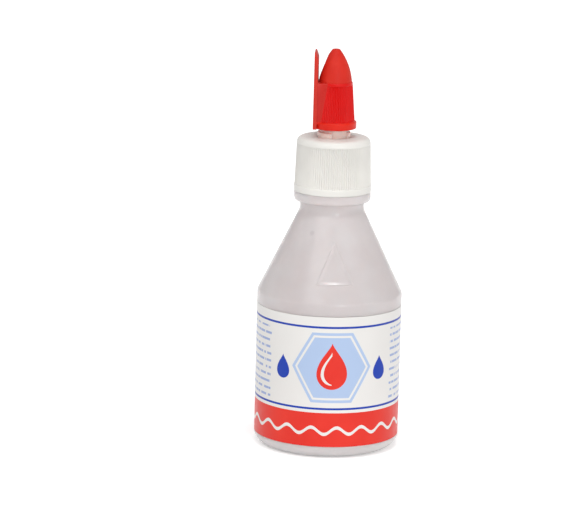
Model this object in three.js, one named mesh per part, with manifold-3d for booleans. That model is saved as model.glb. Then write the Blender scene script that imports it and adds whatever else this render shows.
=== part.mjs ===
// Squeeze bottle of all-purpose glue with a screw closure and a twist nozzle that carries a spreading blade
// Millimetres, +Z up; the origin is on the bottle's axis, in the plane it stands on
// The closure, spout and nozzle stack up from the neck, so their heights follow from the bottle's
import * as THREE from "three";
import { mergeVertices } from "three/addons/utils/BufferGeometryUtils.js";
import Module from "manifold-3d";

const wasm = await Module();
wasm.setup();

// Fits
const fit = 0.3;
const labelGap = 0.1;
const pinFit = 0.2;

// Bottle
const bodyRadius = 23.7;
const shoulderHeight = 51;
const neckBaseHeight = 78.4;
const neckBaseRadius = 10.45;
const bottleWall = 0.9;
const footReach = 4.2;
const footRise = 3.9;
const footEase = 1.9;
const shoulderRounding = 0.9;
const standingRing = 4.7;
const pushUp = 1.8;
const pushUpFlat = 8.8;
const beadRise = 2.8;
const beadRadius = 12.55;
const beadHeight = 3.3;
const beadRounding = 1.55;
const neckRadius = 9.5;
const neckWall = 1.3;
const neckHeight = 14.5;

// Label and glue
const labelBottom = 4.1;
const labelHeight = 43.1;
const labelThickness = 0.2;
const labelSeam = 0.8;
const glueBelowNeck = 9;

// Closure
const threadSpace = 1.45;
const closureWall = 1.65;
const closureDraft = 0.6;
const closureRounding = 2.2;
const deckThickness = 1.5;
const rimHeight = 2;
const topBand = 2.3;
const closureFlutes = 100;
const closureFluteDepth = 0.3;

// Spout insert
const spoutFlange = 1.2;
const plugDepth = 5;
const plugWall = 0.9;
const stemRadius = 4.4;
const stemStep = 0.5;
const stemWall = 1;
const lugWidth = 1;
const lugHeight = 1.6;
const lugSpan = 110;
const lugStart = -206;
const valveConeDrop = 2.4;
const valveConeRise = 2.8;
const windowWidth = 1.5;
const windowHeight = 2.6;
const windowCount = 3;

// Twist nozzle
const nozzleGap = 2.9;
const flangeHeight = 2.3;
const flangeLip = 0.6;
const skirtHeight = 12.8;
const skirtWall = 1.4;
const skirtFlare = 1;
const skirtFlutes = 64;
const skirtFluteDepth = 0.22;
const skirtBand = 0.9;
const domeHeight = 10.7;
const domeLedge = 0.25;
const domeStep = 0.3;
const ogiveInset = 0.55;
const ogiveDrop = 4.7;
const domeFacet = 0.4;
const flatLean = 20.5;
const orificeRadius = 0.75;
const orificeDepth = 3.6;
const tipWall = 0.55;
const tipLand = 1.7;
const chamberInset = 0.4;
const chamberDrop = 6;
const bladeThickness = 1.25;
const bladeWidth = 11.4;
const bladeTaper = 1.4;
const bladeCorner = 1.6;
const bladeDrop = 0.7;
const blockReach = 3.6;
const blockWidth = 10.3;
const chiselHeight = 2.4;
const chiselEdge = 0.45;

// Values that follow
const labelRecess = labelThickness + labelGap;
const panelRadius = bodyRadius - labelRecess;
const innerRadius = panelRadius - bottleWall;
const coneSlope = (bodyRadius - neckBaseRadius) / (neckBaseHeight - shoulderHeight);
const coneWall = bottleWall * Math.hypot(1, coneSlope);
const neckBore = neckRadius - neckWall;
const beadBottom = neckBaseHeight + beadRise;
const beadTop = beadBottom + beadHeight;
const neckTop = beadTop + neckHeight;
const fillLevel = neckBaseHeight - glueBelowNeck;
const closureBottom = beadTop + fit;
const spoutFlangeBottom = neckTop + fit;
const spoutFlangeTop = spoutFlangeBottom + spoutFlange;
const deckUnder = spoutFlangeTop + fit;
const deckTop = deckUnder + deckThickness;
const closureBore = neckRadius + threadSpace;
const closureRadius = closureBore + closureWall;
const lugRadius = stemRadius + lugWidth;
const deckHole = lugRadius + fit;
const nozzleBottom = deckTop + nozzleGap;
const flangeTop = nozzleBottom + flangeHeight;
const skirtTop = flangeTop + skirtHeight;
const tipTop = skirtTop + domeHeight;
const bladeTop = tipTop - bladeDrop;
const stemTopRadius = stemRadius - stemStep;
const nozzleBore = stemTopRadius + fit;
const skirtTopRadius = nozzleBore + skirtWall;
const skirtBottomRadius = skirtTopRadius + skirtFlare;
const nozzleFlangeRadius = skirtBottomRadius + flangeLip;
const tipRadius = orificeRadius + tipWall;
const domeRadius = skirtTopRadius - domeLedge;
const bladeInner = skirtTopRadius;
const bladeOuter = bladeInner + bladeThickness;

// Colours
const milky = { color: 0xdcd4d2, roughness: 0.42, metalness: 0 };
const paper = { color: 0xeeeeec, roughness: 0.5, metalness: 0 };
const clearGlue = { color: 0xe6e0d4, roughness: 0.15, metalness: 0 };
const white = { color: 0xe8e5df, roughness: 0.4, metalness: 0 };
const natural = { color: 0xdccfc9, roughness: 0.35, metalness: 0 };
const red = { color: 0xd8242a, roughness: 0.45, metalness: 0 };

// Profile through corners [radius, height, rounding]; a rounded corner becomes a short curve,
// which may take most of a side with one rounded end and nearly half of a side with two
function profile(corners, divisions = 3) {
  const at = corners.map(([r, z]) => new THREE.Vector2(r, z));
  const path = new THREE.Path();
  path.moveTo(at[0].x, at[0].y);
  for (let i = 1; i < at.length; i += 1) {
    const rounding = corners[i][2] ?? 0;
    if (rounding === 0) {
      path.lineTo(at[i].x, at[i].y);
      continue;
    }
    const back = at[i - 1].clone().sub(at[i]);
    const ahead = at[i + 1].clone().sub(at[i]);
    const roomBack = corners[i - 1][2] ? 0.48 : 0.96;
    const roomAhead = corners[i + 1][2] ? 0.48 : 0.96;
    const reach = Math.min(rounding, roomBack * back.length(), roomAhead * ahead.length());
    const from = at[i].clone().add(back.setLength(reach));
    const to = at[i].clone().add(ahead.setLength(reach));
    path.lineTo(from.x, from.y);
    path.quadraticCurveTo(at[i].x, at[i].y, to.x, to.y);
  }
  return path.getPoints(divisions);
}

// Foot corner set inward by a distance: from the floor it meets up to a wall, eased into both
function footCurve(inward, wallRadius) {
  const length = Math.hypot(footReach, footRise);
  const startRadius = bodyRadius - footReach - (inward * footRise) / length;
  const startHeight = (inward * footReach) / length;
  const lowRadius = startRadius + ((inward - startHeight) * footReach) / footRise;
  const highHeight = startHeight + ((wallRadius - startRadius) * footRise) / footReach;
  const curve = new THREE.CubicBezierCurve(
    new THREE.Vector2(lowRadius, inward),
    new THREE.Vector2(lowRadius + footEase, inward),
    new THREE.Vector2(wallRadius, highHeight - footEase),
    new THREE.Vector2(wallRadius, highHeight),
  );
  return curve.getPoints(5).map((point) => [point.x, point.y]);
}

// Solid of revolution about Z
function revolve(points, segments) {
  return new THREE.LatheGeometry(points, segments).rotateX(Math.PI / 2);
}

// Flat shape extruded upward between two heights
function upright(shape, bottom, top, curveSegments = 12) {
  const settings = { depth: top - bottom, bevelEnabled: false, curveSegments };
  return new THREE.ExtrudeGeometry(shape, settings).translate(0, 0, bottom);
}

// Part of a ring between two angles in degrees
function ringSector(inner, outer, fromDegrees, toDegrees) {
  const from = THREE.MathUtils.degToRad(fromDegrees);
  const to = THREE.MathUtils.degToRad(toDegrees);
  const shape = new THREE.Shape();
  shape.absarc(0, 0, outer, from, to, false);
  shape.absarc(0, 0, inner, to, from, true);
  shape.closePath();
  return shape;
}

// Fluted round bar whose radius changes from bottom to top
function flutedBar(count, depth, lowRadius, highRadius, bottom, top) {
  const pitch = (2 * Math.PI) / count;
  const shape = new THREE.Shape();
  const draw = (i, share, radius) => {
    const angle = (i + share) * pitch;
    const x = radius * Math.cos(angle);
    const y = radius * Math.sin(angle);
    return i === 0 && share === 0 ? shape.moveTo(x, y) : shape.lineTo(x, y);
  };
  for (let i = 0; i < count; i += 1) {
    draw(i, 0, lowRadius);
    draw(i, 0.45, lowRadius);
    draw(i, 0.725, lowRadius - depth);
  }
  shape.closePath();
  const geometry = upright(shape, bottom, top);
  const position = geometry.attributes.position;
  for (let k = 0; k < position.count; k += 1) {
    const share = (position.getZ(k) - bottom) / (top - bottom);
    const scale = 1 + share * (highRadius / lowRadius - 1);
    position.setX(k, position.getX(k) * scale);
    position.setY(k, position.getY(k) * scale);
  }
  return geometry;
}

// Manifold solid from a closed geometry
function solid(geometry) {
  const plain = geometry.clone();
  plain.deleteAttribute("normal");
  plain.deleteAttribute("uv");
  const merged = mergeVertices(plain, 1e-4);
  const index = merged.index.array;
  const triangles = [];
  for (let i = 0; i < index.length; i += 3) {
    const [a, b, c] = [index[i], index[i + 1], index[i + 2]];
    if (a !== b && b !== c && c !== a) {
      triangles.push(a, b, c);
    }
  }
  const vertProperties = new Float32Array(merged.attributes.position.array);
  const triVerts = new Uint32Array(triangles);
  return new wasm.Manifold(new wasm.Mesh({ numProp: 3, vertProperties, triVerts }));
}

// Geometry from a manifold solid
function geometryOf(manifold) {
  const mesh = manifold.getMesh();
  const geometry = new THREE.BufferGeometry();
  geometry.setAttribute("position", new THREE.BufferAttribute(new Float32Array(mesh.vertProperties), 3));
  geometry.setIndex(new THREE.BufferAttribute(new Uint32Array(mesh.triVerts), 1));
  return geometry;
}

// Named mesh
function piece(name, geometry, look) {
  geometry.computeVertexNormals();
  const mesh = new THREE.Mesh(geometry, new THREE.MeshStandardMaterial(look));
  mesh.name = name;
  return mesh;
}

// Bottle: shell of even wall with a pushed-up base, label panel, conical shoulder, bead and plain neck
function bottle() {
  const ringOuter = bodyRadius - footReach;
  const ringInner = ringOuter - standingRing;
  const panelBottom = labelBottom - labelGap;
  const panelTop = labelBottom + labelHeight + labelGap;
  const floor = pushUp + bottleWall;
  const coneInner = neckBaseRadius - coneWall;
  const shoulderInner = neckBaseHeight - (innerRadius - coneInner) / coneSlope;
  const corners = [
    [0, pushUp],
    [pushUpFlat, pushUp, 2],
    [ringInner, 0, 0.6],
    ...footCurve(0, bodyRadius),
    [bodyRadius, panelBottom],
    [panelRadius, panelBottom],
    [panelRadius, panelTop],
    [bodyRadius, panelTop],
    [bodyRadius, shoulderHeight, shoulderRounding],
    [neckBaseRadius, neckBaseHeight, 0.8],
    [neckBaseRadius, beadBottom],
    [beadRadius, beadBottom, beadRounding],
    [beadRadius, beadTop, 0.5],
    [neckRadius, beadTop],
    [neckRadius, neckTop, 0.4],
    [neckBore, neckTop],
    [neckBore, neckBaseHeight + 1],
    [coneInner, neckBaseHeight - 0.5],
    [innerRadius, shoulderInner, shoulderRounding],
    ...footCurve(bottleWall, innerRadius).reverse(),
    [ringInner + 0.4, bottleWall],
    [pushUpFlat, floor, 2],
    [0, floor],
  ];
  return piece("bottle", revolve(profile(corners, 2), 48), milky);
}

// Label: one wrap round the panel with a butt seam at the back
function wrapLabel() {
  const inner = panelRadius + labelGap;
  const half = THREE.MathUtils.radToDeg(labelSeam / bodyRadius) / 2;
  const shape = ringSector(inner, inner + labelThickness, 90 + half, 450 - half);
  return piece("wrap_label", upright(shape, labelBottom, labelBottom + labelHeight, 24), paper);
}

// Glue: what the bottle holds, clear of its wall, with a level top in the shoulder
function glueFill() {
  const ringInner = bodyRadius - footReach - standingRing;
  const floor = pushUp + bottleWall + fit;
  const radius = innerRadius - fit;
  const coneInner = neckBaseRadius - coneWall - fit * Math.hypot(1, coneSlope);
  const shoulder = neckBaseHeight - 0.5 - (radius - coneInner) / coneSlope;
  const levelRadius = coneInner + (neckBaseHeight - 0.5 - fillLevel) * coneSlope;
  const corners = [
    [0, floor],
    [pushUpFlat, floor, 2],
    [ringInner + 0.6, bottleWall + fit],
    ...footCurve(bottleWall + fit, radius),
    [radius, shoulder, shoulderRounding],
    [levelRadius, fillLevel],
    [0, fillLevel],
  ];
  return piece("glue_fill", revolve(profile(corners, 2), 36), clearGlue);
}

// Screw closure: fluted, slightly tapered cap with a smooth rim, a rounded top and a hole for the spout
function screwClosure() {
  const fluteBottom = closureBottom + rimHeight;
  const fluteTop = deckTop - topBand;
  const share = (fluteTop - closureBottom) / (deckTop - closureBottom);
  const topRadius = closureRadius - closureDraft * share;
  const lowRadius = closureRadius - 0.15;
  const highRadius = topRadius - 0.05;
  const core = closureFluteDepth + 0.25;
  const outside = profile([
    [0, closureBottom],
    [closureRadius, closureBottom],
    [closureRadius, fluteBottom],
    [lowRadius - core, fluteBottom],
    [highRadius - core, fluteTop],
    [topRadius, fluteTop],
    [topRadius, deckTop, closureRounding],
    [0, deckTop],
  ]);
  const cavity = profile([
    [0, closureBottom - 1],
    [closureBore, closureBottom - 1],
    [closureBore, deckUnder],
    [0, deckUnder],
  ]);
  const hole = profile([
    [0, deckUnder - 1],
    [deckHole, deckUnder - 1],
    [deckHole, deckTop + 1],
    [0, deckTop + 1],
  ]);
  const flutes = flutedBar(
    closureFlutes,
    closureFluteDepth,
    lowRadius,
    highRadius,
    fluteBottom - 0.2,
    fluteTop + 0.2,
  );
  const cap = solid(revolve(outside, 50)).add(solid(flutes));
  const open = cap.subtract(solid(revolve(cavity, 40))).subtract(solid(revolve(hole, 28)));
  return piece("screw_closure", geometryOf(open), white);
}

// Spout insert: plug, clamped flange, stem with two cam lugs, and a windowed cone that ends in the valve pin
function spoutInsert() {
  const plugRadius = neckBore - fit;
  const plugBottom = spoutFlangeBottom - plugDepth;
  const seat = nozzleBottom - fit;
  const coneBottom = skirtTop - valveConeDrop;
  const coneTop = skirtTop + valveConeRise;
  const pinRadius = orificeRadius - pinFit;
  const coneTopRadius = pinRadius + 0.8;
  const bore = stemTopRadius - stemWall;
  const body = profile([
    [0, spoutFlangeTop - 0.4],
    [bore, spoutFlangeTop - 0.4],
    [bore, spoutFlangeBottom],
    [plugRadius - plugWall, spoutFlangeBottom],
    [plugRadius - plugWall, plugBottom],
    [plugRadius, plugBottom],
    [plugRadius, spoutFlangeBottom],
    [neckRadius, spoutFlangeBottom],
    [neckRadius, spoutFlangeTop],
    [stemRadius, spoutFlangeTop],
    [stemRadius, seat],
    [stemTopRadius, seat],
    [stemTopRadius, coneBottom],
    [coneTopRadius, coneTop],
    [pinRadius, coneTop + 0.8],
    [pinRadius, tipTop - 0.4],
    [0, tipTop - 0.4],
  ]);
  const channel = profile([
    [0, spoutFlangeBottom - 1],
    [bore, spoutFlangeBottom - 1],
    [bore, coneBottom - 0.3],
    [coneTopRadius - 0.5, coneTop - 1],
    [0, coneTop - 1],
  ]);
  let insert = solid(revolve(body, 32));
  for (const turn of [0, 180]) {
    const lug = ringSector(stemRadius - 0.6, lugRadius, lugStart + turn, lugStart + turn + lugSpan);
    insert = insert.add(solid(upright(lug, spoutFlangeTop - 0.3, deckTop + lugHeight)));
  }
  insert = insert.subtract(solid(revolve(channel, 24)));
  for (let i = 0; i < windowCount; i += 1) {
    const box = new THREE.BoxGeometry(2 * stemRadius, windowWidth, windowHeight);
    box.translate(stemRadius, 0, coneBottom + 0.3 + windowHeight / 2);
    box.rotateZ((2 * Math.PI * i) / windowCount);
    insert = insert.subtract(solid(box));
  }
  return piece("spout_insert", geometryOf(insert), natural);
}

// Blade outline in the nozzle's own Y and Z: wide at the foot, with rounded top corners
function bladeShape(halfFoot, halfTop, bottom, top, corner) {
  const shape = new THREE.Shape();
  shape.moveTo(-halfFoot, bottom);
  shape.lineTo(halfFoot, bottom);
  shape.lineTo(halfTop, top - corner);
  shape.quadraticCurveTo(halfTop, top, halfTop - corner, top);
  shape.lineTo(corner - halfTop, top);
  shape.quadraticCurveTo(-halfTop, top, -halfTop, top - corner);
  shape.closePath();
  return shape;
}

// Plate across X from a shape drawn in Y and Z
function acrossX(shape, fromX, toX) {
  const plate = new THREE.ExtrudeGeometry(shape, { depth: toX - fromX, bevelEnabled: false, curveSegments: 5 });
  plate.rotateX(Math.PI / 2);
  plate.rotateZ(Math.PI / 2);
  return plate.translate(fromX, 0, 0);
}

// Spreading blade with a chisel edge on its inner side, and the block that joins it to the skirt
function blade() {
  const halfFoot = bladeWidth / 2;
  const halfTop = halfFoot - bladeTaper / 2;
  const outline = bladeShape(halfFoot, halfTop, nozzleBottom, bladeTop, bladeCorner);
  const plate = solid(acrossX(outline, -bladeOuter, -bladeInner));
  const chisel = new THREE.Shape();
  chisel.moveTo(-bladeInner, bladeTop - chiselHeight);
  chisel.lineTo(1 - bladeInner, bladeTop - chiselHeight);
  chisel.lineTo(1 - bladeInner, bladeTop + 1);
  chisel.lineTo(-bladeOuter + chiselEdge, bladeTop + 1);
  chisel.lineTo(-bladeOuter + chiselEdge, bladeTop);
  chisel.closePath();
  const wedge = new THREE.ExtrudeGeometry(chisel, { depth: 2 * bladeWidth, bevelEnabled: false });
  wedge.rotateX(Math.PI / 2).translate(0, bladeWidth, 0);
  const block = bladeShape(blockWidth / 2, blockWidth / 2, nozzleBottom, skirtTop, 0.3);
  return plate.subtract(solid(wedge)).add(solid(acrossX(block, -bladeInner - 0.2, blockReach - bladeInner)));
}

// Twist nozzle: flange, fluted skirt with a smooth band at its top, ogive with a flat on the blade's side, blade and a bore that ends in the orifice
function twistNozzle() {
  const dome = new THREE.QuadraticBezierCurve(
    new THREE.Vector2(domeRadius, skirtTop + domeStep),
    new THREE.Vector2(domeRadius - ogiveInset, tipTop - ogiveDrop),
    new THREE.Vector2(tipRadius, tipTop),
  );
  const foot = new THREE.Vector2(domeRadius, flangeTop);
  const ogive = [new THREE.Vector2(0, flangeTop), foot, ...dome.getPoints(7), new THREE.Vector2(0, tipTop)];
  const flat = new THREE.BoxGeometry(20, 30, 60).translate(-10, 0, 0);
  flat.rotateY(THREE.MathUtils.degToRad(flatLean)).translate(-tipRadius - domeFacet, 0, tipTop);
  const rounded = solid(revolve(ogive, 36)).subtract(solid(flat));
  const flangeProfile = profile([
    [0, nozzleBottom],
    [nozzleFlangeRadius, nozzleBottom, 0.3],
    [nozzleFlangeRadius, flangeTop, 0.5],
    [0, flangeTop],
  ]);
  const side = new THREE.BoxGeometry(20, 40, 60).translate(-bladeOuter - 10, 0, nozzleBottom);
  const flange = solid(revolve(flangeProfile, 40)).subtract(solid(side));
  const skirt = flutedBar(
    skirtFlutes,
    skirtFluteDepth,
    skirtBottomRadius,
    skirtTopRadius,
    flangeTop - 0.2,
    skirtTop,
  );
  const band = profile([
    [0, skirtTop - skirtBand],
    [skirtTopRadius + (skirtFlare * skirtBand) / skirtHeight + 0.02, skirtTop - skirtBand],
    [skirtTopRadius + 0.02, skirtTop],
    [0, skirtTop],
  ]);
  const inside = new THREE.QuadraticBezierCurve(
    new THREE.Vector2(nozzleBore, skirtTop),
    new THREE.Vector2(nozzleBore - chamberInset, tipTop - chamberDrop),
    new THREE.Vector2(orificeRadius / 2, tipTop - tipLand),
  );
  const chamber = [
    new THREE.Vector2(0, nozzleBottom - 1),
    new THREE.Vector2(nozzleBore, nozzleBottom - 1),
    ...inside.getPoints(4),
    new THREE.Vector2(0, tipTop - tipLand),
  ];
  const orifice = profile([
    [0, tipTop - orificeDepth],
    [orificeRadius, tipTop - orificeDepth],
    [orificeRadius, tipTop + 1],
    [0, tipTop + 1],
  ]);
  const whole = rounded.add(flange).add(solid(skirt)).add(solid(revolve(band, 48))).add(blade());
  const hollow = whole.subtract(solid(revolve(chamber, 24))).subtract(solid(revolve(orifice, 16)));
  return piece("twist_nozzle", geometryOf(hollow), red);
}

const group = new THREE.Group();
group.name = "glue_bottle";
group.add(bottle(), wrapLabel(), glueFill(), screwClosure(), spoutInsert(), twistNozzle());

export default group;
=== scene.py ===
import math

import bmesh
import bpy
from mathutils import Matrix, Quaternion, Vector


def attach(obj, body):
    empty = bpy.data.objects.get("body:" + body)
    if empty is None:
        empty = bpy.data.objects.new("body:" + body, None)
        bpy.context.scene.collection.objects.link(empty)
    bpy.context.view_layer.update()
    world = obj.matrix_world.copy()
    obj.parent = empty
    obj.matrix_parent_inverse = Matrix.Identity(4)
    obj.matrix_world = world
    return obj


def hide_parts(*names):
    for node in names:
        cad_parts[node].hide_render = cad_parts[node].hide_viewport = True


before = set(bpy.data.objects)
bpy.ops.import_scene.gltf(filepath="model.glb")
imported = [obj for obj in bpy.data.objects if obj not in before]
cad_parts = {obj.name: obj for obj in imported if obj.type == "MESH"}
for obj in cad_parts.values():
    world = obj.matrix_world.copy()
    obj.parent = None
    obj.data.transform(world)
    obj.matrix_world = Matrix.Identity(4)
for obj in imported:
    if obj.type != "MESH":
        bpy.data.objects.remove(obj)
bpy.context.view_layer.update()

MM = 0.001

# Bottle, label and glue, in mm
BODY_RADIUS = 23.7
SHOULDER_HEIGHT = 51.0
NECK_BASE_HEIGHT = 78.4
NECK_BASE_RADIUS = 10.45
WALL = 0.9
BASE_RADIUS = 8.8
BASE_RISE = 1.8
RING_INNER = 14.8
FOOT_REACH = 4.2
FOOT_RISE = 3.9
FOOT_EASE = 1.9
PANEL_RADIUS = 23.4
LABEL_BOTTOM = 4.1
LABEL_TOP = 47.2
LABEL_GAP = 0.1
LABEL_SEAM = 0.8
GLUE_LEVEL = 69.4
GLUE_GAP = 0.3
BEAD_BOTTOM = 81.2
BEAD_TOP = 84.5
BEAD_RADIUS = 12.55
NECK_RADIUS = 9.5
NECK_BORE = 8.2
NECK_TOP = 99.0
THREAD_START = 89.0
THREAD_CREST = 10.5
THREAD_LEAD = 3.0
THREAD_TURN = 590
CONE_SLOPE = (BODY_RADIUS - NECK_BASE_RADIUS) / (NECK_BASE_HEIGHT - SHOULDER_HEIGHT)
BOTTLE_SEGMENTS = 400
CONE_RINGS = 76

# Closure and spout, in mm
CLOSURE_BOTTOM = 84.55
DECK_UNDER = 100.8
DECK_TOP = 102.3
CLOSURE_BORE = 10.95
CLOSURE_RADIUS = 12.6
CLOSURE_TOP_RADIUS = 12.05
FLUTE_BOTTOM = 86.8
FLUTE_TOP = 100.0
CLOSURE_FLUTES = 100
CLOSURE_FLUTE_DEPTH = 0.32
DECK_HOLE = 5.5
PLUG_BOTTOM = 94.3
SPOUT_FLANGE_BOTTOM = 99.3
SPOUT_FLANGE_TOP = 100.5
SPOUT_BORE = 2.9
STEM_RADIUS = 4.4
VALVE_RADIUS = 3.9
PIN_RADIUS = 0.55

# Nozzle, in mm
NOZZLE_BOTTOM = 105.2
FLANGE_TOP = 107.5
SKIRT_TOP = 120.3
TIP_TOP = 131.0
FLANGE_RADIUS = 7.2
SKIRT_LOW_RADIUS = 6.57
SKIRT_HIGH_RADIUS = 5.68
SKIRT_BAND = 0.9
SKIRT_FLUTES = 64
SKIRT_FLUTE_DEPTH = 0.24
OGIVE_RADIUS = 5.35
NOZZLE_BORE = 4.2
ORIFICE_RADIUS = 0.75
BLADE_INNER = 5.6
BLADE_OUTER = 6.85
BLADE_HALF_WIDTH = 5.7
BLADE_TOP = 130.3
BLOCK_HALF_WIDTH = 5.15


# Modelling helpers


def deselect_everything():
    if bpy.context.object and bpy.context.object.mode != "OBJECT":
        bpy.ops.object.mode_set(mode="OBJECT")
    bpy.ops.object.select_all(action="DESELECT")


def select_only(piece):
    deselect_everything()
    piece.select_set(True)
    bpy.context.view_layer.objects.active = piece


def rounded(corners, steps=6):
    """Stations (radius, height) along corners (radius, height, rounding), roundings as curves."""
    stations = []
    for i, corner in enumerate(corners):
        here = Vector(corner[:2])
        reach = corner[2] if len(corner) > 2 else 0
        if not reach or i in (0, len(corners) - 1):
            stations.append(tuple(here))
            continue
        back = Vector(corners[i - 1][:2]) - here
        ahead = Vector(corners[i + 1][:2]) - here
        reach = min(reach, 0.48 * back.length, 0.48 * ahead.length)
        start = here + back.normalized() * reach
        end = here + ahead.normalized() * reach
        for k in range(steps + 1):
            t = k / steps
            point = start * (1 - t) ** 2 + here * (2 * t * (1 - t)) + end * t ** 2
            stations.append(tuple(point))
    return stations


def between(low, high, count):
    """Stations spaced evenly from low to high, both left out."""
    a, b = Vector(low), Vector(high)
    return [tuple(a.lerp(b, k / (count + 1))) for k in range(1, count + 1)]


def curve(start, control, end, steps):
    """Stations along a curve from start to end, drawn towards control."""
    a, b, c = Vector(start), Vector(control), Vector(end)
    points = []
    for k in range(steps + 1):
        t = k / steps
        points.append(tuple(a * (1 - t) ** 2 + b * (2 * t * (1 - t)) + c * t ** 2))
    return points


def foot_curve(inward, wall_radius):
    """Foot corner set inward by a distance, from the floor it meets up to a wall."""
    length = math.hypot(FOOT_REACH, FOOT_RISE)
    start = BODY_RADIUS - FOOT_REACH - inward * FOOT_RISE / length
    height = inward * FOOT_REACH / length
    low = start + (inward - height) * FOOT_REACH / FOOT_RISE
    high = height + (wall_radius - start) * FOOT_RISE / FOOT_REACH
    points = []
    for step in range(13):
        t = step / 12
        a, b, c, d = (1 - t) ** 3, 3 * t * (1 - t) ** 2, 3 * t * t * (1 - t), t ** 3
        points.append((
            a * low + b * (low + FOOT_EASE) + (c + d) * wall_radius,
            (a + b) * inward + c * (high - FOOT_EASE) + d * high,
        ))
    return points


def pick(piece, test, kind="VERT"):
    """Selects, in edit mode, the piece's vertices or faces for which test(place in mm) is true."""
    bpy.ops.mesh.select_mode(type=kind)
    bpy.ops.mesh.select_all(action="DESELECT")
    mesh = bmesh.from_edit_mesh(piece.data)
    for part in mesh.verts if kind == "VERT" else mesh.faces:
        place = (part.co if kind == "VERT" else part.calc_center_median()) / MM
        if test(place):
            part.select_set(True)
    mesh.select_flush_mode()
    bmesh.update_edit_mesh(piece.data)


def turned(name, stations, segments, poles=(False, False), ring=False):
    """Round piece: a circle extruded and scaled from station to station, with closed ends."""
    deselect_everything()
    radius, height = stations[0]
    bpy.ops.mesh.primitive_circle_add(
        vertices=segments, radius=radius * MM, location=(0, 0, height * MM)
    )
    piece = bpy.context.object
    piece.name = piece.data.name = name
    bpy.ops.object.transform_apply(location=True, rotation=True, scale=True)
    bpy.ops.object.mode_set(mode="EDIT")
    bpy.ops.mesh.select_mode(type="VERT")
    bpy.ops.mesh.select_all(action="SELECT")
    if poles[0]:
        bpy.ops.mesh.extrude_edges_move()
        bpy.ops.mesh.merge(type="COLLAPSE")
        first = height
        pick(piece, lambda p: abs(p.z - first) < 1e-4 and math.hypot(p.x, p.y) > 1e-3)
    for (r0, z0), (r1, z1) in zip(stations, stations[1:]):
        rise = (0, 0, (z1 - z0) * MM)
        bpy.ops.mesh.extrude_edges_move(TRANSFORM_OT_translate={"value": rise})
        grow = r1 / r0
        bpy.ops.transform.resize(value=(grow, grow, 1), center_override=(0, 0, z1 * MM))
    if poles[1]:
        bpy.ops.mesh.extrude_edges_move()
        bpy.ops.mesh.merge(type="COLLAPSE")
    bpy.ops.mesh.select_all(action="SELECT")
    if ring:
        bpy.ops.mesh.remove_doubles(threshold=0.0005 * MM)
    bpy.ops.mesh.normals_make_consistent(inside=False)
    bpy.ops.object.mode_set(mode="OBJECT")
    return piece


def boxed(name, low, high):
    """Block between two corners."""
    deselect_everything()
    low, high = Vector(low) * MM, Vector(high) * MM
    bpy.ops.mesh.primitive_cube_add(size=1, location=(low + high) / 2, scale=high - low)
    piece = bpy.context.object
    piece.name = piece.data.name = name
    bpy.ops.object.transform_apply(location=True, rotation=True, scale=True)
    return piece


def modified(piece, kind, **settings):
    """Adds a modifier and applies it."""
    select_only(piece)
    modifier = piece.modifiers.new(kind.lower(), kind)
    for key, value in settings.items():
        setattr(modifier, key, value)
    bpy.ops.object.modifier_apply(modifier=modifier.name)


def combined(piece, tool, operation):
    """Joins or cuts a piece with another, which is used up."""
    modified(piece, "BOOLEAN", object=tool, operation=operation, solver="EXACT")
    bpy.data.objects.remove(tool, do_unlink=True)


def smooth(piece, degrees=35):
    select_only(piece)
    bpy.ops.object.shade_smooth_by_angle(angle=math.radians(degrees))


def softened(piece, width, degrees=35, segments=2):
    """Rounds the piece's sharp edges a little."""
    modified(
        piece,
        "BEVEL",
        width=width * MM,
        segments=segments,
        limit_method="ANGLE",
        angle_limit=math.radians(degrees),
        harden_normals=False,
    )


def settle(piece, body, node, material):
    """Gives a finished piece its material and its place in the frame."""
    piece.data.materials.clear()
    piece.data.materials.append(material)
    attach(piece, body)
    if node:
        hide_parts(node)


# Material helpers


def linear(red, green, blue):
    """Colour from 0 to 255 values as a linear colour."""
    def one(value):
        value /= 255
        return value / 12.92 if value <= 0.04045 else ((value + 0.055) / 1.055) ** 2.4
    return (one(red), one(green), one(blue), 1.0)


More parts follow.
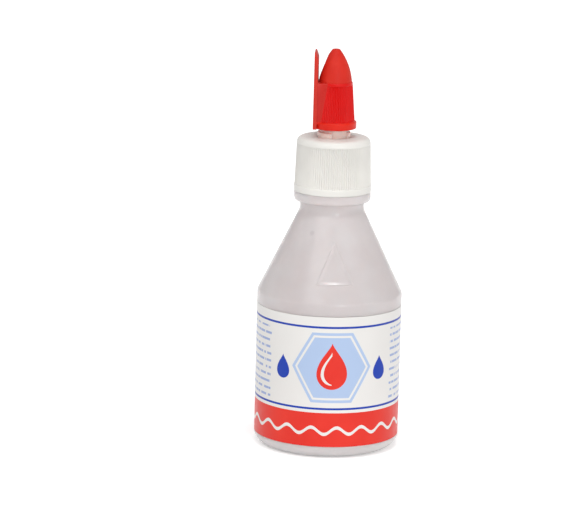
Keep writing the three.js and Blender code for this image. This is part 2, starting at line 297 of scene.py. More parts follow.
class Nodes:
    """Material under construction, with short ways to add its nodes."""

    def __init__(self, name):
        self.material = bpy.data.materials.new(name)
        self.material.use_nodes = True
        self.tree = self.material.node_tree
        self.shader = self.tree.nodes["Principled BSDF"]
        self.place = self.add("ShaderNodeTexCoord").outputs["Object"]

    def add(self, kind, **settings):
        node = self.tree.nodes.new(kind)
        for key, value in settings.items():
            setattr(node, key, value)
        return node

    def link(self, source, socket):
        if hasattr(source, "is_linked"):
            self.tree.links.new(source, socket)
        else:
            socket.default_value = source

    def math(self, operation, *values):
        node = self.add("ShaderNodeMath", operation=operation)
        for value, socket in zip(values, node.inputs):
            self.link(value, socket)
        return node.outputs[0]

    def noise(self, scale, detail=2.0, roughness=0.5, place=None):
        node = self.add("ShaderNodeTexNoise")
        self.link(self.place if place is None else place, node.inputs["Vector"])
        node.inputs["Scale"].default_value = scale
        node.inputs["Detail"].default_value = detail
        node.inputs["Roughness"].default_value = roughness
        return node.outputs["Fac"]

    def spread(self, value, low, high, from_low=0.3, from_high=0.7):
        node = self.add("ShaderNodeMapRange")
        self.link(value, node.inputs["Value"])
        for name, number in zip(
            ("From Min", "From Max", "To Min", "To Max"), (from_low, from_high, low, high)
        ):
            self.link(number, node.inputs[name])
        return node.outputs["Result"]

    def blend(self, share, first, second):
        node = self.add("ShaderNodeMix", data_type="RGBA")
        self.link(share, node.inputs[0])
        self.link(first, node.inputs[6])
        self.link(second, node.inputs[7])
        return node.outputs[2]

    def bump(self, height, strength, distance, under=None):
        node = self.add("ShaderNodeBump")
        node.inputs["Strength"].default_value = strength
        node.inputs["Distance"].default_value = distance * MM
        self.link(height, node.inputs["Height"])
        if under is not None:
            self.link(under, node.inputs["Normal"])
        return node.outputs["Normal"]

    def finish(self, **sockets):
        for name, value in sockets.items():
            self.link(value, self.shader.inputs[name.replace("_", " ")])
        return self.material


# Materials


def milky_plastic():
    """Thin translucent polyethylene: cloudy, waxy, with one air bubble, and a painted lighter foot
    against the floor's shade.
    """
    n = Nodes("milky_polyethylene")
    cloud = n.noise(70, 3)
    tone = n.blend(n.spread(cloud, 0, 1), linear(242, 228, 227), linear(251, 241, 240))
    split = n.add("ShaderNodeSeparateXYZ")
    n.link(n.place, split.inputs[0])
    foot_ends = (FOOT_RISE - 0.9) * MM, (FOOT_RISE + 1.1) * MM
    # Painted light: the base colour is lifted near the foot to offset the shade the floor casts
    # there.
    foot_painted_light = n.spread(split.outputs["Z"], 1, 0, *foot_ends)
    tone = n.blend(foot_painted_light, tone, linear(254, 247, 246))
    bubble = n.add("ShaderNodeVectorMath", operation="DISTANCE")
    n.link(n.place, bubble.inputs[0])
    bubble.inputs[1].default_value = Vector((-5.95, -11.98, 72.35)) * MM
    speck = n.spread(bubble.outputs["Value"], 0.5, 0, 0.0005, 0.0010)
    tone = n.blend(speck, tone, linear(222, 209, 209))
    haze = n.spread(n.noise(420, 2), 0.32, 0.42)
    skin = n.bump(n.noise(160, 2), 0.10, 0.4)
    skin = n.bump(n.noise(2600, 2), 0.06, 0.03, skin)
    n.shader.inputs["Subsurface Radius"].default_value = (1.0, 0.85, 0.8)
    return n.finish(
        Base_Color=tone,
        Roughness=haze,
        Normal=skin,
        Subsurface_Weight=0.5,
        Subsurface_Scale=0.007,
        Transmission_Weight=0.4,
        IOR=1.5,
        Specular_IOR_Level=0.25,
        Coat_Weight=0.42,
        Coat_Roughness=0.14,
    )


def natural_plastic():
    """Unpigmented polyethylene, a little clearer than the bottle, tinted pink by a painted
    reflection of the red nozzle.
    """
    n = Nodes("natural_polyethylene")
    cloud = n.noise(300, 2)
    # Painted reflection: the pink in these tones stands in for red light thrown onto the spout by
    # the nozzle.
    tone = n.blend(n.spread(cloud, 0, 1), linear(248, 218, 207), linear(252, 228, 219))
    haze = n.spread(n.noise(900, 2), 0.28, 0.38)
    skin = n.bump(n.noise(2600, 2), 0.06, 0.03)
    n.shader.inputs["Subsurface Radius"].default_value = (1.0, 0.7, 0.6)
    return n.finish(
        Base_Color=tone,
        Roughness=haze,
        Normal=skin,
        Subsurface_Weight=0.5,
        Subsurface_Scale=0.002,
        Transmission_Weight=0.1,
        IOR=1.5,
    )


def white_plastic():
    """Warm white moulded cap with a satin skin and faint flow marks."""
    n = Nodes("warm_white_polypropylene")
    flow = n.noise(110, 3)
    tone = n.blend(n.spread(flow, 0, 1), linear(219, 217, 212), linear(226, 224, 219))
    haze = n.spread(n.noise(700, 3), 0.34, 0.46)
    skin = n.bump(n.noise(3200, 2), 0.08, 0.03)
    n.shader.inputs["Subsurface Radius"].default_value = (1.0, 0.9, 0.8)
    return n.finish(
        Base_Color=tone,
        Roughness=haze,
        Normal=skin,
        Subsurface_Weight=0.12,
        Subsurface_Scale=0.001,
        Specular_IOR_Level=0.45,
    )


def red_plastic():
    """Red polyethylene: smooth flange, satin skirt, matte ogive; a painted highlight on the flange,
    painted shade on the block and painted sheen on the ogive and blade.
    """
    n = Nodes("red_polyethylene")
    split = n.add("ShaderNodeSeparateXYZ")
    n.link(n.place, split.inputs[0])
    x, _, height = split.outputs
    ogive = n.spread(height, 0, 1, 0.1202, 0.1206)
    flange = n.spread(height, 1, 0, 0.1075, 0.1077)
    edge = n.math("SUBTRACT", n.math("MULTIPLY", height, 0.1508), 0.02034)
    block = n.spread(n.math("SUBTRACT", x, edge), 1, 0, -0.0002, 0.0)
    blade = n.spread(x, 1, 0, -0.0057, -0.0055)
    flow = n.spread(n.noise(160, 3), 0, 1)
    tone = n.blend(flow, linear(205, 10, 8), linear(212, 16, 12))
    # Painted shade: the block between skirt and blade gets a darker red.
    tone = n.blend(block, tone, n.blend(flow, linear(184, 31, 25), linear(193, 39, 31)))
    # Painted highlight: the flange gets a lighter red where its top catches the light.
    tone = n.blend(flange, tone, n.blend(flow, linear(209, 31, 17), linear(216, 38, 21)))
    # Painted sheen: the ogive gets a paler red.
    tone = n.blend(ogive, tone, n.blend(flow, linear(197, 34, 22), linear(206, 45, 30)))
    # Painted sheen: the blade gets a paler red.
    tone = n.blend(blade, tone, n.blend(flow, linear(191, 44, 33), linear(199, 50, 38)))
    grain = n.noise(2400, 3, 0.6)
    haze = n.math("ADD", n.spread(n.noise(800, 2), 0.30, 0.40), n.math("MULTIPLY", ogive, 0.2))
    skin = n.bump(grain, 0.14, 0.04)
    n.shader.inputs["Subsurface Radius"].default_value = (1.0, 0.25, 0.2)
    return n.finish(
        Base_Color=tone,
        Roughness=haze,
        Normal=skin,
        Subsurface_Weight=0.1,
        Subsurface_Scale=0.001,
        Specular_IOR_Level=0.2,
    )


def clear_glue():
    """Clear, faintly straw-coloured glue with a few cloudy streaks."""
    n = Nodes("clear_glue")
    streak = n.spread(n.noise(60, 3), 0, 1)
    tone = n.blend(streak, linear(236, 230, 222), linear(243, 239, 233))
    haze = n.spread(n.noise(300, 2), 0.10, 0.18)
    return n.finish(Base_Color=tone, Roughness=haze, Transmission_Weight=0.5, IOR=1.4)


def printed_label():
    """White film label, generic print: red foot band, blue rules, drops, hexagon and dashes."""
    n = Nodes("printed_label")
    split = n.add("ShaderNodeSeparateXYZ")
    n.link(n.place, split.inputs[0])
    x, y, height = split.outputs
    away = n.math("MULTIPLY", y, -1.0)
    angle = n.math("SUBTRACT", n.math("ARCTAN2", x, away), math.radians(5))
    across = n.math("MULTIPLY", angle, BODY_RADIUS)
    up = n.math("DIVIDE", height, MM)

    def below(value, limit):
        return n.math("LESS_THAN", value, limit)

    def above(value, limit):
        return n.math("GREATER_THAN", value, limit)

    def both(*masks):
        result = masks[0]
        for mask in masks[1:]:
            result = n.math("MULTIPLY", result, mask)
        return result

    def band(low, high):
        return both(above(up, low), below(up, high))

    def drop(centre_x, centre_z, radius, rise):
        """Mask of a drop with a round foot and a drawn-out tip."""
        dx = n.math("SUBTRACT", across, centre_x)
        dz = n.math("SUBTRACT", up, centre_z)
        squares = n.math("ADD", n.math("MULTIPLY", dx, dx), n.math("MULTIPLY", dz, dz))
        foot = below(n.math("POWER", squares, 0.5), radius)
        share = n.math("DIVIDE", dz, rise)
        left = n.math("MAXIMUM", n.math("SUBTRACT", 1.0, n.math("MULTIPLY", share, share)), 0.0)
        half = n.math("MULTIPLY", n.math("POWER", left, 1.5), radius)
        tip = both(below(n.math("ABSOLUTE", dx), half), above(dz, 0.0))
        return n.math("MAXIMUM", foot, tip)

    def hexagon(centre_z, reach):
        """Mask of a hexagon that stands on a flat side."""
        dx = n.math("ABSOLUTE", across)
        dz = n.math("ABSOLUTE", n.math("SUBTRACT", up, centre_z))
        slant = n.math("ADD", n.math("MULTIPLY", dx, 0.866), n.math("MULTIPLY", dz, 0.5))
        return below(n.math("MAXIMUM", slant, dz), reach)

    white = n.blend(n.spread(n.noise(40, 2), 0, 1), linear(220, 218, 215), linear(225, 223, 220))
    red = n.blend(n.spread(n.noise(90, 2), 0, 1), linear(214, 40, 27), linear(221, 48, 33))
    blue = linear(12, 56, 164)
    pale = linear(168, 188, 219)
    ink = white
    middle, drop_foot = 30.4, 28.2
    for reach, colour in ((11.6, pale), (10.7, white), (10.0, pale)):
        ink = n.blend(hexagon(middle, reach), ink, colour)
    ink = n.blend(drop(0, drop_foot, 5.0, 10.5), ink, red)
    cover = n.math("SUBTRACT", 1.0, drop(1.1, drop_foot + 0.2, 3.7, 8.0))
    shine = both(drop(0, drop_foot, 3.6, 7.5), cover, below(across, 0.0))
    ink = n.blend(shine, ink, white)
    for place in (-17.0, 17.0):
        ink = n.blend(drop(place, drop_foot, 2.5, 5.6), ink, blue)
    ink = n.blend(band(4.0, 15.4), ink, red)
    ink = n.blend(band(16.4, 17.1), ink, blue)
    ink = n.blend(band(43.4, 44.1), ink, blue)
    wave = n.math("MULTIPLY", n.math("SINE", n.math("MULTIPLY", across, 0.75)), 1.1)
    off_wave = n.math("ABSOLUTE", n.math("SUBTRACT", n.math("SUBTRACT", up, 9.4), wave))
    ink = n.blend(below(off_wave, 0.55), ink, white)
    rows = n.math("DIVIDE", up, 2.3)
    in_row = below(n.math("FRACT", rows), 0.34)
    spot = n.add("ShaderNodeCombineXYZ")
    n.link(n.math("MULTIPLY", across, 0.9), spot.inputs[0])
    n.link(n.math("MULTIPLY", n.math("FLOOR", rows), 7.3), spot.inputs[1])
    dash = above(n.noise(1.0, 1, place=spot.outputs[0]), 0.43)
    off_column = n.math("ABSOLUTE", n.math("SUBTRACT", n.math("ABSOLUTE", across), 42.0))
    dashes = both(in_row, dash, below(off_column, 19.5), band(18.4, 42.0))
    ink = n.blend(dashes, ink, linear(150, 166, 206))
    haze = n.spread(n.noise(500, 2), 0.30, 0.40)
    skin = n.bump(n.noise(90, 2), 0.05, 0.3)
    skin = n.bump(n.noise(3000, 2), 0.05, 0.02, skin)
    return n.finish(Base_Color=ink, Roughness=haze, Normal=skin, Specular_IOR_Level=0.3)


# Bottle


def make_bottle(material):
    """Bottle: its outside and inside turned as one wall, with the raised mark on the shoulder."""
    wall = WALL * math.hypot(1, CONE_SLOPE)
    inner_neck = NECK_BASE_RADIUS - wall
    inner_radius = PANEL_RADIUS - WALL
    inner_shoulder = NECK_BASE_HEIGHT - (inner_radius - inner_neck) / CONE_SLOPE
    outside = rounded([
        (0.6, BASE_RISE),
        (BASE_RADIUS, BASE_RISE, 2.0),
        (RING_INNER, 0.0, 0.6),
        (18.9, 0.0),
    ]) + foot_curve(0, BODY_RADIUS)[:-1] + rounded([
        (BODY_RADIUS, FOOT_RISE),
        (BODY_RADIUS, LABEL_BOTTOM - LABEL_GAP),
        (PANEL_RADIUS, LABEL_BOTTOM - LABEL_GAP, 0.12),
        (PANEL_RADIUS, LABEL_TOP + LABEL_GAP, 0.12),
        (BODY_RADIUS, LABEL_TOP + LABEL_GAP, 0.12),
        (BODY_RADIUS, SHOULDER_HEIGHT, 0.6),
        (NECK_BASE_RADIUS, NECK_BASE_HEIGHT, 1.2),
        (NECK_BASE_RADIUS, BEAD_BOTTOM, 0.3),
        (BEAD_RADIUS - 1.6, BEAD_BOTTOM),
    ]) + curve(
        (BEAD_RADIUS - 1.5, BEAD_BOTTOM),
        (BEAD_RADIUS, BEAD_BOTTOM),
        (BEAD_RADIUS, BEAD_BOTTOM + 1.5),
        8,
    ) + rounded([
        (BEAD_RADIUS, BEAD_BOTTOM + 1.7),
        (BEAD_RADIUS, BEAD_TOP, 0.05),
        (NECK_RADIUS, BEAD_TOP, 0.4),
        (NECK_RADIUS, NECK_TOP, 0.4),
        (NECK_BORE, NECK_TOP),
    ])
    cone = next(
        i for i, (radius, height) in enumerate(outside)
        if radius < BODY_RADIUS - 0.5 and height > SHOULDER_HEIGHT
    )
    fine = between(outside[cone - 1], outside[cone], CONE_RINGS)
    inside = rounded([
        (NECK_BORE, NECK_TOP),
        (NECK_BORE, NECK_BASE_HEIGHT + 1.0, 0.4),
        (inner_neck, NECK_BASE_HEIGHT - 0.5, 0.6),
        (inner_radius, inner_shoulder, 0.9),
        (inner_radius, 6.0),
    ]) + foot_curve(WALL, inner_radius)[::-1] + rounded([
        (17.0, WALL),
        (RING_INNER + 0.4, WALL, 0.4),
        (BASE_RADIUS, BASE_RISE + WALL, 2.0),
        (0.6, BASE_RISE + WALL),
    ])
    stations = outside[:cone] + fine + outside[cone:] + inside[1:]
    bottle = turned("bottle_shell", stations, BOTTLE_SEGMENTS, poles=(True, True))
    raise_touch_mark(bottle)
    smooth(bottle, 40)
    settle(bottle, "container", "bottle", material)


def raise_touch_mark(bottle):
    """Raised outline of a tall triangle on the shoulder: a finer mesh, weights, displacement."""
    half, tall, width, rise, turn = 6.0, 14.5, 1.1, 0.28, math.radians(6)
    foot = 57.1
    slant = math.hypot(1, CONE_SLOPE)
    side = math.hypot(half, tall)

    def flat(place):
        """Place on the unrolled shoulder, from the middle of the triangle's foot."""
        radius = math.hypot(place.x, place.y)
        skin = BODY_RADIUS - (place.z - SHOULDER_HEIGHT) * CONE_SLOPE
        if not 55 < place.z < 72 or abs(radius - skin) > 0.3 or place.y > 0:
            return None
        return (math.atan2(place.x, -place.y) - turn) * radius, (place.z - foot) * slant

    def near_mark(place):
        spot = flat(place)
        return bool(spot) and abs(spot[0]) < half + 0.8 and -0.8 < spot[1] < tall + 0.8

    select_only(bottle)
    bpy.ops.object.mode_set(mode="EDIT")
    pick(bottle, near_mark, "FACE")
    bpy.ops.mesh.subdivide(number_cuts=1)
    bpy.ops.object.mode_set(mode="OBJECT")
    group = bottle.vertex_groups.new(name="touch_mark")
    for vertex in bottle.data.vertices:
        spot = flat(vertex.co / MM)
        if not spot:
            continue
        across, up = spot
        depth = min(up, ((tall - up) * half - abs(across) * tall) / side)
        flank_in = max(0.0, min(1.0, (width - depth) / (width - 0.15)))
        flank_out = max(0.0, min(1.0, depth / 0.3 + 0.5))
        weight = min(flank_in, flank_out * flank_out * (3 - 2 * flank_out))
        if weight > 0:
            group.add([vertex.index], weight, "REPLACE")
    modified(
        bottle,
        "DISPLACE",
        direction="NORMAL",
        strength=rise * MM,
        mid_level=0.0,
        vertex_group="touch_mark",
    )
    bottle.vertex_groups.clear()


def make_neck_thread(material):
    """One rounded thread that runs round the neck, by a section and a screw."""
    deselect_everything()
    bpy.ops.mesh.primitive_plane_add(size=1, location=(0, 0, 0))
    thread = bpy.context.object
    thread.name = thread.data.name = "neck_thread"
    root, half_root, half_crest = NECK_RADIUS - 0.1, 0.85, 0.35
    places = [
        (root, -half_root),
        (THREAD_CREST, -half_crest),
        (THREAD_CREST, half_crest),
        (root, half_root),
    ]
    bpy.ops.object.mode_set(mode="EDIT")
    mesh = bmesh.from_edit_mesh(thread.data)
    mesh.faces.ensure_lookup_table()
    loop = list(mesh.faces[0].verts)
    for vertex, (radius, height) in zip(loop, places):
        vertex.co = Vector((radius, 0, THREAD_START + height)) * MM
    bmesh.update_edit_mesh(thread.data)
    bpy.ops.object.mode_set(mode="OBJECT")
    modified(
        thread,
        "SCREW",
        axis="Z",
        angle=math.radians(THREAD_TURN),
        screw_offset=THREAD_LEAD * MM * THREAD_TURN / 360,
        steps=160,
        render_steps=160,
        use_merge_vertices=False,
    )
    select_only(thread)
    bpy.ops.object.mode_set(mode="EDIT")
    bpy.ops.mesh.select_all(action="SELECT")
    bpy.ops.mesh.remove_doubles(threshold=0.0005 * MM)
    bpy.ops.mesh.fill_holes(sides=4)
    bpy.ops.mesh.normals_make_consistent(inside=False)
    bpy.ops.object.mode_set(mode="OBJECT")
    softened(thread, 0.15)
    smooth(thread)
    settle(thread, "container", None, material)


def make_label(material):
    """Wrap label: an upright strip section spun round the panel, with a butt seam at the back."""
    inner, outer = PANEL_RADIUS + LABEL_GAP, BODY_RADIUS
    seam = LABEL_SEAM / BODY_RADIUS
    label = boxed("wrap_label_film", (-0.1, inner, LABEL_BOTTOM), (0.1, outer, LABEL_TOP))
    bpy.ops.object.mode_set(mode="EDIT")
    pick(label, lambda p: p.x < 0)
    bpy.ops.mesh.delete(type="VERT")
    bpy.ops.mesh.select_all(action="SELECT")
    bpy.ops.mesh.edge_face_add()
    pick(label, lambda p: True)
    bpy.ops.transform.translate(value=(-0.1 * MM, 0, 0))
    bpy.ops.transform.rotate(value=-seam / 2, orient_axis="Z", center_override=(0, 0, 0))
    bpy.ops.mesh.spin(steps=240, angle=2 * math.pi - seam, center=(0, 0, 0), axis=(0, 0, 1))
    bpy.ops.mesh.select_all(action="SELECT")
    bpy.ops.mesh.remove_doubles(threshold=0.0005 * MM)
    bpy.ops.mesh.normals_make_consistent(inside=False)
    bpy.ops.object.mode_set(mode="OBJECT")
    smooth(label, 40)
    settle(label, "container", "wrap_label", material)


def make_glue(material):
    """Glue: the bottle's inside less a small gap, with a hollow top where it creeps up the wall."""
    radius = PANEL_RADIUS - WALL - GLUE_GAP
    wall = WALL * math.hypot(1, CONE_SLOPE)
    neck = NECK_BASE_RADIUS - wall - GLUE_GAP * math.hypot(1, CONE_SLOPE)
    shoulder = NECK_BASE_HEIGHT - 0.5 - (radius - neck) / CONE_SLOPE
    level = neck + (NECK_BASE_HEIGHT - 0.5 - GLUE_LEVEL) * CONE_SLOPE
    stations = rounded([
        (0.5, BASE_RISE + WALL + GLUE_GAP),
        (BASE_RADIUS, BASE_RISE + WALL + GLUE_GAP, 2.0),
        (RING_INNER + 0.6, WALL + GLUE_GAP, 0.4),
        (17.0, WALL + GLUE_GAP),
    ]) + foot_curve(WALL + GLUE_GAP, radius) + rounded([
        (radius, 6.0),
        (radius, shoulder, 0.9),
        (level, GLUE_LEVEL, 0.2),
        (level - 1.5, GLUE_LEVEL - 0.25, 0.7),
        (0.5, GLUE_LEVEL - 0.25),
    ])
    glue = turned("glue_body", stations, 160, poles=(True, True))
    smooth(glue, 40)
    settle(glue, "container", "glue_fill", material)


# Closure and spout


def sink_flutes(piece, segments, depth, bottom, top, outside):
    """Flutes between two heights: one to four segments, with its valley and flanks moved in."""
    step = 2 * math.pi / segments
    select_only(piece)
    bpy.ops.object.mode_set(mode="EDIT")
    for places, share in (((2,), 1.0), ((1, 3), 0.5)):

        def in_flute(p):
            if not bottom - 0.01 < p.z < top + 0.01 or math.hypot(p.x, p.y) < outside:
                return False
            return round(math.atan2(p.y, p.x) / step + segments) % 4 in places

        pick(piece, in_flute)
        scale = 1 - depth * share / outside
        bpy.ops.transform.resize(value=(scale, scale, 1), center_override=(0, 0, 0))
    bpy.ops.mesh.select_all(action="SELECT")
    bpy.ops.mesh.normals_make_consistent(inside=False)
    bpy.ops.object.mode_set(mode="OBJECT")


def make_closure(material):
    """Cap: turned with its hole and cavity, then fluted between rim and top."""
    stations = rounded([
        (CLOSURE_BORE, CLOSURE_BOTTOM),
        (CLOSURE_RADIUS, CLOSURE_BOTTOM, 0.05),
        (CLOSURE_RADIUS, FLUTE_BOTTOM - 0.3, 0.2),
        (CLOSURE_RADIUS - 0.12, FLUTE_BOTTOM - 0.15, 0.1),
        (CLOSURE_RADIUS - 0.12, FLUTE_BOTTOM),
        (CLOSURE_TOP_RADIUS, FLUTE_TOP),
    ]) + curve(
        (CLOSURE_TOP_RADIUS, DECK_TOP - 2.15),
        (CLOSURE_TOP_RADIUS, DECK_TOP),
        (CLOSURE_TOP_RADIUS - 2.3, DECK_TOP),
        12,
    ) + rounded([
        (CLOSURE_TOP_RADIUS - 3.0, DECK_TOP),
        (DECK_HOLE, DECK_TOP, 0.25),
        (DECK_HOLE, DECK_UNDER, 0.2),
        (CLOSURE_BORE, DECK_UNDER, 0.4),
        (CLOSURE_BORE, CLOSURE_BOTTOM),
    ])
    segments = 4 * CLOSURE_FLUTES
    closure = turned("screw_closure_cap", stations, segments, ring=True)
    sink_flutes(
        closure, segments, CLOSURE_FLUTE_DEPTH, FLUTE_BOTTOM, FLUTE_TOP, CLOSURE_BORE + 0.4
    )
    smooth(closure, 40)
    settle(closure, "closure", "screw_closure", material)


def make_spout(material):
    """Spout insert: flange, plug, stem with two lugs pulled out of it, valve cone and pin."""
    lug_top = DECK_TOP + 1.6
    stations = rounded([
        (SPOUT_BORE, SPOUT_FLANGE_BOTTOM),
        (7.0, SPOUT_FLANGE_BOTTOM),
        (7.0, PLUG_BOTTOM),
        (7.9, PLUG_BOTTOM, 0.2),
        (7.9, SPOUT_FLANGE_BOTTOM),
        (NECK_RADIUS, SPOUT_FLANGE_BOTTOM),
        (NECK_RADIUS, SPOUT_FLANGE_TOP, 0.3),
        (STEM_RADIUS, SPOUT_FLANGE_TOP),
        (STEM_RADIUS, lug_top),
        (STEM_RADIUS, NOZZLE_BOTTOM - 0.3, 0.15),
        (VALVE_RADIUS, NOZZLE_BOTTOM - 0.3, 0.15),
        (VALVE_RADIUS, SKIRT_TOP - 2.4),
        (1.35, SKIRT_TOP + 2.8),
        (PIN_RADIUS, SKIRT_TOP + 3.6),
        (PIN_RADIUS, TIP_TOP - 0.4, 0.2),
        (0.1, TIP_TOP - 0.4),
        (0.1, SKIRT_TOP + 1.8),
        (0.85, SKIRT_TOP + 1.8),
        (SPOUT_BORE, SKIRT_TOP - 2.7),
        (SPOUT_BORE, SPOUT_FLANGE_BOTTOM),
    ])
    spout = turned("spout_insert_body", stations, 120, ring=True)
    select_only(spout)
    bpy.ops.object.mode_set(mode="EDIT")

    def on_lug(p):
        off_stem = abs(math.hypot(p.x, p.y) - STEM_RADIUS)
        if not SPOUT_FLANGE_TOP + 0.1 < p.z < lug_top or off_stem > 0.1:
            return False
        turn = math.degrees(math.atan2(p.y, p.x))
        return (turn - 154) % 180 < 110

    pick(spout, on_lug, "FACE")
    bpy.ops.mesh.extrude_region_shrink_fatten(
        TRANSFORM_OT_shrink_fatten={"value": 1.0 * MM, "use_even_offset": True}
    )
    bpy.ops.object.mode_set(mode="OBJECT")
    softened(spout, 0.12)
    smooth(spout, 40)
    settle(spout, "spout", "spout_insert", material)


# Nozzle


def make_nozzle(material):
    """Nozzle: turned flange, fluted skirt and ogive, block and blade joined on, bore cut out."""
    dome = curve((OGIVE_RADIUS, SKIRT_TOP + 0.3), (4.8, TIP_TOP - 4.7), (1.3, TIP_TOP - 0.12), 18)
    stations = rounded([
        (0.4, NOZZLE_BOTTOM),
        (FLANGE_RADIUS, NOZZLE_BOTTOM, 0.35),
        (FLANGE_RADIUS, FLANGE_TOP, 0.5),
        (6.45, FLANGE_TOP, 0.1),
        (6.45, FLANGE_TOP + 0.25),
        (SKIRT_LOW_RADIUS, FLANGE_TOP + 0.35),
        (SKIRT_HIGH_RADIUS, SKIRT_TOP - SKIRT_BAND),
        (5.7, SKIRT_TOP - 0.8),
        (5.62, SKIRT_TOP, 0.12),
        (OGIVE_RADIUS, SKIRT_TOP, 0.08),
        (OGIVE_RADIUS, SKIRT_TOP + 0.3),
    ])[:-1] + dome + [(1.18, TIP_TOP), (0.4, TIP_TOP)]
    segments = 4 * SKIRT_FLUTES
    nozzle = turned("twist_nozzle_body", stations, segments, poles=(True, True))
    cut_flat(nozzle)
    sink_flutes(nozzle, segments, SKIRT_FLUTE_DEPTH, FLANGE_TOP + 0.3, SKIRT_TOP - 0.88, 5.5)
    trim = boxed("trim", (-12, -12, NOZZLE_BOTTOM - 1), (0.05 - BLADE_OUTER, 12, TIP_TOP + 1))
    combined(nozzle, trim, "DIFFERENCE")
    combined(nozzle, joining_block(), "UNION")
    combined(nozzle, spreading_blade(), "UNION")
    combined(nozzle, bore(), "DIFFERENCE")
    softened(nozzle, 0.05)
    smooth(nozzle, 40)
    settle(nozzle, "nozzle", "twist_nozzle", material)


def cut_flat(nozzle):
    """Flat on the ogive, on the blade's side."""
    lean = math.radians(20.5)
    select_only(nozzle)
    bpy.ops.object.mode_set(mode="EDIT")
    pick(nozzle, lambda p: p.z > SKIRT_TOP + 0.3 and p.x < 0.4, "FACE")
    bpy.ops.mesh.bisect(
        plane_co=(-1.7 * MM, 0, TIP_TOP * MM),
        plane_no=(-math.cos(lean), 0, math.sin(lean)),
        clear_outer=True,
    )
    bpy.ops.mesh.select_mode(type="EDGE")
    bpy.ops.mesh.select_all(action="DESELECT")
    bpy.ops.mesh.select_non_manifold()
    bpy.ops.mesh.edge_face_add()
    bpy.ops.object.mode_set(mode="OBJECT")


def joining_block():
    """Block between skirt and blade, a little narrower than the blade."""
    block = boxed(
        "joining_block",
        (-BLADE_INNER - 0.4, -BLOCK_HALF_WIDTH, FLANGE_TOP - 0.6),
        (-1.9, BLOCK_HALF_WIDTH, SKIRT_TOP - 0.05),
    )
    softened(block, 0.2, segments=3)
    return block


def spreading_blade():
    """Upright blade with rounded top corners and a chisel edge on its inner side."""
    blade = boxed(
        "spreading_blade",
        (-BLADE_OUTER, -BLADE_HALF_WIDTH, NOZZLE_BOTTOM + 0.04),
        (-BLADE_INNER, BLADE_HALF_WIDTH, BLADE_TOP),
    )
    bpy.ops.object.mode_set(mode="EDIT")
    pick(blade, lambda p: p.z > BLADE_TOP - 1)
    narrower = 5.0 / BLADE_HALF_WIDTH
    bpy.ops.transform.resize(value=(1, narrower, 1), center_override=(0, 0, 0))
    mesh = bmesh.from_edit_mesh(blade.data)
    bpy.ops.mesh.select_mode(type="EDGE")
    bpy.ops.mesh.select_all(action="DESELECT")
    for edge in mesh.edges:
        a, b = (v.co / MM for v in edge.verts)
        if a.z > BLADE_TOP - 1 and b.z > BLADE_TOP - 1 and abs(a.y - b.y) < 0.1:
            edge.select_set(True)
    bmesh.update_edit_mesh(blade.data)
    bpy.ops.mesh.bevel(offset=1.6 * MM, segments=8)
    bpy.ops.mesh.select_all(action="SELECT")
    chisel_depth, chisel_height = 0.8, 2.4
    lean = math.atan2(chisel_depth, chisel_height)
    bpy.ops.mesh.bisect(
        plane_co=(-BLADE_INNER * MM, 0, (BLADE_TOP - chisel_height) * MM),
        plane_no=(math.cos(lean), 0, math.sin(lean)),
        use_fill=True,
        clear_outer=True,
    )
    bpy.ops.object.mode_set(mode="OBJECT")
    softened(blade, 0.12, segments=3)
    return blade


def bore():
    """What the spout and the glue take up inside the nozzle."""
    chamber = curve(
        (NOZZLE_BORE, SKIRT_TOP),
        (NOZZLE_BORE - 0.4, TIP_TOP - 6),
        (ORIFICE_RADIUS, TIP_TOP - 1.7),
        8,
    )
    stations = [(0.4, NOZZLE_BOTTOM - 1), (NOZZLE_BORE, NOZZLE_BOTTOM - 1)]
    stations += chamber + [(ORIFICE_RADIUS, TIP_TOP + 1), (0.4, TIP_TOP + 1)]
    return turned("bore", stations, 64, poles=(True, True))


# Stage, light and camera


def make_stage():
    """Pale floor that keeps the shadow and shows white to the camera elsewhere."""
    deselect_everything()
    bpy.ops.mesh.primitive_circle_add(
        vertices=96, radius=8.0, fill_type="NGON", location=(0, 0, -0.0002)
    )
    floor = bpy.context.object
    floor.name = floor.data.name = "floor"
    n = Nodes("pale_floor")
    grain = n.spread(n.noise(6, 2), 0, 1)
    tone = n.blend(grain, linear(246, 246, 246), linear(248, 248, 248))
    n.finish(Base_Color=tone, Roughness=0.9)
    n.shader.inputs["Specular IOR Level"].default_value = 0.0
    path = n.add("ShaderNodeLightPath")
    seen = n.math("MAXIMUM", path.outputs["Is Camera Ray"], path.outputs["Is Glossy Ray"])
    seen = n.math("MAXIMUM", seen, path.outputs["Is Transmission Ray"])
    glow = n.add("ShaderNodeEmission")
    n.link(n.math("MULTIPLY", seen, 0.3), glow.inputs["Strength"])
    both = n.add("ShaderNodeAddShader")
    n.link(n.shader.outputs[0], both.inputs[0])
    n.link(glow.outputs[0], both.inputs[1])
    n.link(both.outputs[0], n.tree.nodes["Material Output"].inputs["Surface"])
    floor.data.materials.append(n.material)


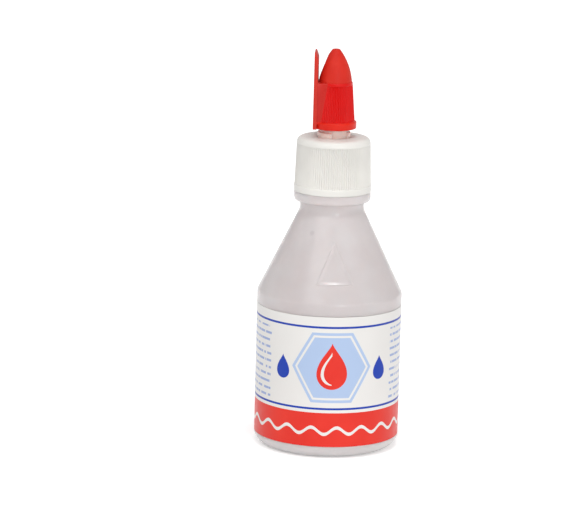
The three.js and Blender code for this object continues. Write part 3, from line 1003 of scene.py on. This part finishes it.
def make_world():
    """Even white surroundings that light the object at a plain level."""
    world = bpy.data.worlds.new("studio")
    bpy.context.scene.world = world
    world.use_nodes = True
    tree = world.node_tree
    back = tree.nodes["Background"]
    back.inputs["Color"].default_value = (1, 1, 1, 1)
    path = tree.nodes.new("ShaderNodeLightPath")
    seen = tree.nodes.new("ShaderNodeMath")
    seen.operation = "MAXIMUM"
    tree.links.new(path.outputs["Is Camera Ray"], seen.inputs[0])
    tree.links.new(path.outputs["Is Transmission Ray"], seen.inputs[1])
    level = tree.nodes.new("ShaderNodeMapRange")
    tree.links.new(seen.outputs[0], level.inputs["Value"])
    level.inputs["To Min"].default_value = 0.56
    level.inputs["To Max"].default_value = 1.0
    tree.links.new(level.outputs["Result"], back.inputs["Strength"])


def soft_lamp(name, azimuth, elevation, strength, spread):
    """Wide, even lamp that shines on the object from one side."""
    a, e = math.radians(azimuth), math.radians(elevation)
    back = Vector((math.sin(a) * math.cos(e), -math.cos(a) * math.cos(e), math.sin(e)))
    data = bpy.data.lights.new(name, "SUN")
    data.energy = strength
    data.angle = math.radians(spread)
    lamp = bpy.data.objects.new(name, data)
    bpy.context.scene.collection.objects.link(lamp)
    lamp.location = back
    lamp.rotation_mode = "QUATERNION"
    lamp.rotation_quaternion = (-back).to_track_quat("-Z", "Y")


def make_camera():
    """Camera a little above level, rolled so that the bottle leans to the right."""
    azimuth, elevation, roll = math.radians(2.0), math.radians(11.8), math.radians(1.5)
    distance, frame_width, axis_height, aside = 1.3, 0.18983, 63.0, 13.29
    back = Vector((
        math.sin(azimuth) * math.cos(elevation),
        -math.cos(azimuth) * math.cos(elevation),
        math.sin(elevation),
    ))
    turn = (-back).to_track_quat("-Z", "Y") @ Quaternion((0, 0, 1), roll)
    data = bpy.data.cameras.new("camera")
    data.lens = 36 * distance / frame_width
    data.clip_start, data.clip_end = 0.05, 50
    camera = bpy.data.objects.new("camera", data)
    bpy.context.scene.collection.objects.link(camera)
    camera.rotation_mode = "QUATERNION"
    camera.rotation_quaternion = turn
    middle = Vector((0, 0, axis_height * MM)) - turn @ Vector((aside * MM, 0, 0))
    camera.location = middle + back * distance
    bpy.context.scene.camera = camera


bpy.context.scene.view_settings.view_transform = "Standard"
make_camera()
milky = milky_plastic()
make_bottle(milky)
make_neck_thread(milky)
make_label(printed_label())
make_glue(clear_glue())
make_closure(white_plastic())
make_spout(natural_plastic())
make_nozzle(red_plastic())
make_stage()
make_world()
soft_lamp("key", -28, 46, 0.6, 36)
soft_lamp("fill", 50, 25, 0.25, 50)
soft_lamp("overhead", 10, 72, 0.8, 14)
soft_lamp("strip", 20, 16, 0.7, 8)

deselect_everything()
